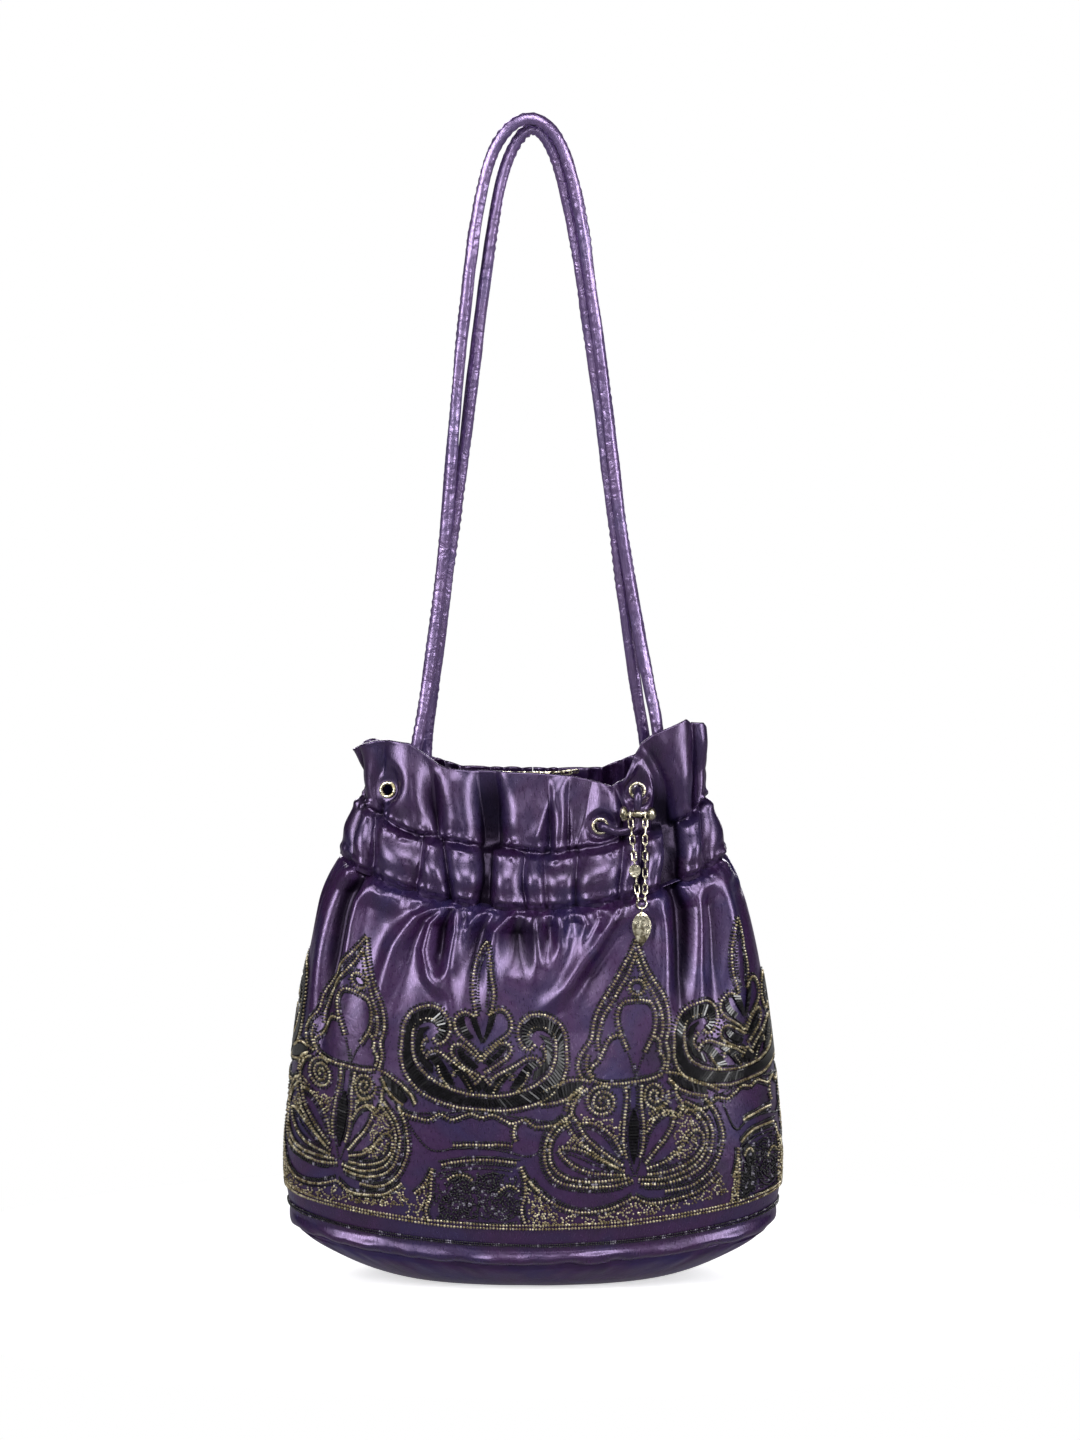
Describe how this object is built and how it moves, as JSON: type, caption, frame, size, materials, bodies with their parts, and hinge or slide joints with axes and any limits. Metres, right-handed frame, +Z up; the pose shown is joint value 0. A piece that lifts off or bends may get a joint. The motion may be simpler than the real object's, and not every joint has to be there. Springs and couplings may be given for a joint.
{
  "type": "potli bag",
  "caption": "Gathered satin pouch with a boat-shaped base, eyelets round the mouth, a drawcord that is its double strap, and a metal chain charm with leaves.",
  "frame": {"origin": "middle of the flat bottom, on the surface the bag stands on", "axes": "+Z up, the beaded front with the charm faces -Y, +X is the right side as seen from the front"},
  "size_m": [0.2502, 0.1294, 0.5829],
  "materials": {
    "purple_satin": "deep purple satin with soft lilac streaks of light; the two panels carry bronze and black beadwork",
    "lining_cloth": "dark purple lining, matt",
    "black_beads": "glossy black seed beads on a cord",
    "pale_brass": "pale antique gold, polished high spots"
  },
  "bodies": {
    "bag": {"front_panel": "purple_satin", "back_panel": "purple_satin", "yoke_left": "purple_satin", "yoke_right": "purple_satin", "base_panel": "purple_satin", "lining": "lining_cloth", "base_bead_cord": "black_beads", "eyelet_front_left_outer": "pale_brass", "eyelet_front_right_inner": "pale_brass", "eyelet_front_right_outer": "pale_brass", "eyelet_back_right_outer": "pale_brass", "eyelet_back_left_inner": "pale_brass", "eyelet_back_left_outer": "pale_brass", "strap_cord_front": "purple_satin", "strap_cord_back": "purple_satin", "charm_bow": "pale_brass", "mouth_chain_link_01": "pale_brass", "mouth_chain_link_02": "pale_brass", "mouth_chain_link_03": "pale_brass", "mouth_chain_link_04": "pale_brass", "mouth_chain_link_05": "pale_brass", "mouth_chain_link_06": "pale_brass", "mouth_chain_link_07": "pale_brass", "mouth_chain_link_08": "pale_brass", "mouth_chain_link_09": "pale_brass", "mouth_chain_link_10": "pale_brass"},
    "charm_chain": {"left_strand_top_link": "pale_brass", "right_strand_top_link": "pale_brass", "left_strand_link_01": "pale_brass", "left_strand_link_02": "pale_brass", "left_strand_link_03": "pale_brass", "left_strand_link_04": "pale_brass", "left_strand_link_05": "pale_brass", "left_strand_link_06": "pale_brass", "left_strand_link_07": "pale_brass", "left_strand_link_08": "pale_brass", "left_strand_link_09": "pale_brass", "left_strand_link_10": "pale_brass", "right_strand_link_01": "pale_brass", "right_strand_link_02": "pale_brass", "right_strand_link_03": "pale_brass", "right_strand_link_04": "pale_brass", "right_strand_link_05": "pale_brass", "right_strand_link_06": "pale_brass", "right_strand_link_07": "pale_brass", "right_strand_link_08": "pale_brass", "right_strand_link_09": "pale_brass", "right_strand_link_10": "pale_brass", "pendant_ring": "pale_brass"},
    "leaf_pendant": {"leaf_pendant": "pale_brass"},
    "small_leaf": {"small_leaf": "pale_brass"}
  },
  "joints": [
    {"name": "chain_swing", "type": "hinge", "parent": "bag", "child": "charm_chain", "pos_m": [0.052, -0.029, 0.236], "axis": [-1, 0, 0], "range_deg": [0, 80]},
    {"name": "pendant_swing", "type": "hinge", "parent": "charm_chain", "child": "leaf_pendant", "pos_m": [0.054, -0.03882, 0.18982], "axis": [-1, 0, 0], "range_deg": [0, 75]},
    {"name": "small_leaf_swing", "type": "hinge", "parent": "charm_chain", "child": "small_leaf", "pos_m": [0.05054, -0.03549, 0.21172], "axis": [-1, 0, 0], "range_deg": [0, 40]}
  ]
}
